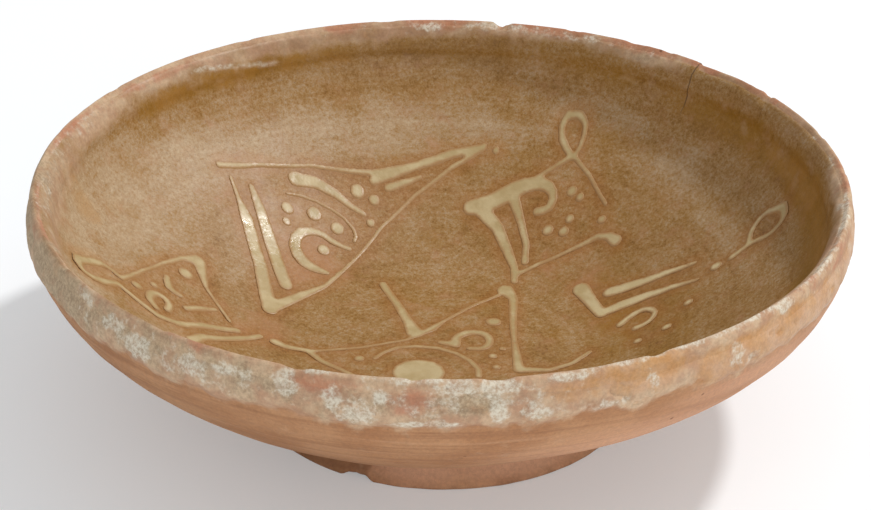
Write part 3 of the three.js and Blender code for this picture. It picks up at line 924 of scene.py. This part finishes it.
# The glaze's colours from its thickest to its palest, where the painted sheen lifts it.
glaze_tones = [
    (0.1, seen_as(108, 70, 18)), (0.32, seen_as(138, 97, 38)), (0.5, seen_as(156, 118, 67)),
    (0.7, seen_as(171, 141, 105)), (1.0, seen_as(192, 168, 136)),
]
shade_and_amber_colour = seen_as(147, 102, 10)
rosy_amber = seen_as(174, 122, 82)
golden_amber = seen_as(172, 124, 62)
warm_ground = seen_as(255, 238, 214)
pooled_amber = seen_as(148, 100, 50)
speck_brown = seen_as(104, 68, 30)
glaze_relief = 0.06 * mm
amber_glaze, tree, where = new_material("amber_glaze")
streaks = lined(tree, where, spacing=3.2 * mm, length=60 * mm)
blots = mottle(tree, where, 1.3 * mm, detail=3.0, roughness=0.7)
clouds = mottle(tree, where, 12 * mm, detail=5.0, roughness=0.62)
speck = mottle(tree, where, 0.6 * mm, detail=2.0, roughness=0.7)
tone = swayed(tree, layer_of(tree, "tone"), streaks, 0.3)
tone = swayed(tree, tone, blots, 0.9)
tone = swayed(tree, tone, clouds, 0.6)
tone = swayed(tree, tone, speck, 0.7)
colour = ramped(tree, tone, glaze_tones)
# Painted shade under the lip and a deeper amber on the right.
shade_and_amber_mask = frayed(tree, where, layer_of(tree, "shade_and_amber"), size=16 * mm, edge=0.6)
colour = tinted(tree, colour, shade_and_amber_mask, 0.75, shade_and_amber_colour)
rosy = frayed(tree, where, layer_of(tree, "rosy"), size=14 * mm, edge=0.4)
colour = tinted(tree, colour, rosy, 0.45, rosy_amber)
gold = frayed(tree, where, layer_of(tree, "gold"), size=8 * mm, edge=0.35)
colour = tinted(tree, colour, gold, 0.42, golden_amber)
ground = frayed(tree, where, layer_of(tree, "ground"), size=10 * mm, edge=0.7)
colour = blended(tree, worked(tree, "MULTIPLY", ground, 0.9), colour, warm_ground, "MULTIPLY")
pool = stepped(tree, layer_of(tree, "pool"), 0.1, 0.8, start=0, end=0.3)
colour = blended(tree, pool, colour, pooled_amber)
colour = blended(tree, stepped(tree, speck, 0.57, 0.7, start=0, end=0.5), colour, speck_brown)
# Bare where worn, and along the painted highlight line, so that the clay's colours show.
bare = frayed(tree, where, layer_of(tree, "worn_and_highlight"), size=7 * mm, edge=0.6)
colour = blended(tree, bare, colour, coloured_outside(tree, where))
gloss = stepped(tree, clouds, 0.3, 0.7, start=0.42, end=0.6)
glaze_height = worked(tree, "MULTIPLY_ADD", streaks, 0.4, blots)
surfaced(tree, cracked(tree, where, colour), gloss, glaze_height, glaze_relief, Specular_IOR_Level=0.35)
glaze.data.materials.append(amber_glaze)
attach(glaze, "root")
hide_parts("inner_glaze")

# Outer glaze
# The same glaze, run over the lip and down the shoulder. It has weathered to a chalky grey crust that
# flakes off in blotches on the front and left, and stays clear and amber on the right.
coat_rings = 34
coat_turns = 900
coat_root_step = 8
grit_size = 3 * mm
grit_relief = 0.05 * mm
amber_thinness = 0.35 * mm
# Each layer of flakes has its weight, its size and its seed.
flakes = [(1, 9 * mm, 41), (0.6, 4 * mm, 43), (0.3, 2 * mm, 45)]
flake_depth = 1.36 * mm
crust_relief = 0.12 * mm
coat_low, coat_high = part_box("outer_glaze")
wall_line = outer_wall + collar[1:]
levels = [point.z for point in wall_line]
widths = [point.x for point in wall_line]
coat_line = [
    Vector((np.interp(level, levels, widths), 0, level))
    for level in np.linspace(coat_low.z, coat_high.z, coat_rings)
]
coat_out = moved_left(coat_line, -(seat_gap + glaze_thickness))
coat_root = moved_left(coat_line, root_depth)
coat = turned("outer_glaze_coat", coat_out + coat_root[::-coat_root_step], coat_turns)
points = points_of(coat)
_, radius, height = polar(points)
away = points * [1, 1, 0] / radius[:, None]
showing = radius > np.interp(height, levels, widths)
flaked = sum(weight * drift(points, size, seed) for weight, size, seed in flakes)
edge = ragged_edge(points)
gone = 1 - eased(height, edge - 2 * mm, edge + 3 * mm)
gone = np.maximum(gone, eased(flaked, 0.3, 0.7))
gone = np.maximum(gone, eased(height, coat_high.z - 5 * mm, coat_high.z - 0.5 * mm))
gone = np.maximum(gone, 1 - eased(height, coat_low.z + 0.4 * mm, coat_low.z + 2.6 * mm))
relief = grit_relief * (drift(points, grit_size, seed=47) - 1)
relief -= amber_thinness * dabbed(points, weathering["amber"])
relief = np.minimum(relief, relief - flake_depth * gone)
points += away * (relief * showing)[:, None]
set_points(coat, points)
weather(coat, points)

weathered_glaze, tree, where = new_material("weathered_glaze")
flecks = mottle(tree, where, 1.0 * mm, detail=4.0, roughness=0.7)
gloss = stepped(tree, layer_of(tree, "amber"), 0.1, 0.9, start=0.82, end=0.45)
surfaced(tree, coloured_outside(tree, where), gloss, flecks, crust_relief)
coat.data.materials.append(weathered_glaze)
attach(coat, "root")
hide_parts("outer_glaze")

# Studio
# A white paper floor in an even white room. One small soft lamp high on the right behind the bowl
# throws the bowl's shadow to the left, and a wide dim one lights the front.
floor_reach = 4.0
floor_mesh = bpy.data.meshes.new("paper_floor")
shape = bmesh.new()
bmesh.ops.create_grid(shape, x_segments=1, y_segments=1, size=floor_reach)
shape.to_mesh(floor_mesh)
shape.free()
floor = bpy.data.objects.new("paper_floor", floor_mesh)
bpy.context.scene.collection.objects.link(floor)
paper_white = (0.955, 0.97, 0.985, 1)
paper_glow = 0.23
paper, tree, _ = new_material("pale_paper")
sheet = put(tree, "BsdfDiffuse", {"Color": paper_white}).outputs[0]
glow = put(tree, "Emission", {"Color": (1, 1, 1, 1), "Strength": 1.0}).outputs[0]
ray = put(tree, "LightPath", {}).outputs
mirrored = worked(tree, "MAXIMUM", ray["Is Glossy Ray"], ray["Is Transmission Ray"])
seen = worked(tree, "MAXIMUM", ray["Is Camera Ray"], mirrored)
glow_share = worked(tree, "MULTIPLY", seen, paper_glow)
mixed = put(tree, "MixShader", {0: glow_share, 1: sheet, 2: glow}).outputs[0]
put(tree, "OutputMaterial", {"Surface": mixed})
floor_mesh.materials.append(paper)

room_white = (0.94, 0.975, 1, 1)
room_light = 0.57
world = bpy.data.worlds.new("white_room")
world.use_nodes = True
background = world.node_tree.nodes["Background"].inputs
background["Color"].default_value = room_white
background["Strength"].default_value = room_light
bpy.context.scene.world = world


def lit(name, outline, width, depth, way, distance, power):
    """An area lamp that shines on the bowl from the given way."""
    data = bpy.data.lights.new(name, "AREA")
    data.shape = outline
    data.size = width
    data.size_y = depth
    data.energy = power
    lamp = bpy.data.objects.new(name, data)
    lamp.location = Vector((0, 0, rim_height)) + distance * way.normalized()
    lamp.rotation_euler = way.to_track_quat("Z", "Y").to_euler()
    bpy.context.scene.collection.objects.link(lamp)


lit("small_softbox", "DISK", width=0.3, depth=0.3, way=Vector((42, 20, 66)), distance=3.0, power=55.0)
lit("front_fill", "RECTANGLE", width=1.5, depth=0.8, way=Vector((20, -100, 35)), distance=1.6, power=6.5)

camera_distance = 0.716
camera_elevation = 27.635
camera_roll = 0.41
camera_target = Vector((-1.45 * mm, 0, 45.54 * mm))
camera_data = bpy.data.cameras.new("camera")
camera_data.lens = 100
camera_data.sensor_width = 36
camera = bpy.data.objects.new("camera", camera_data)
tilt = Matrix.Rotation(math.radians(90 - camera_elevation), 4, "X")
turn = tilt @ Matrix.Rotation(math.radians(camera_roll), 4, "Z")
back = turn.to_3x3() @ Vector((0, 0, 1))
camera.matrix_world = Matrix.Translation(camera_target + camera_distance * back) @ turn
bpy.context.scene.collection.objects.link(camera)
bpy.context.scene.camera = camera
bpy.context.scene.view_settings.view_transform = "Standard"
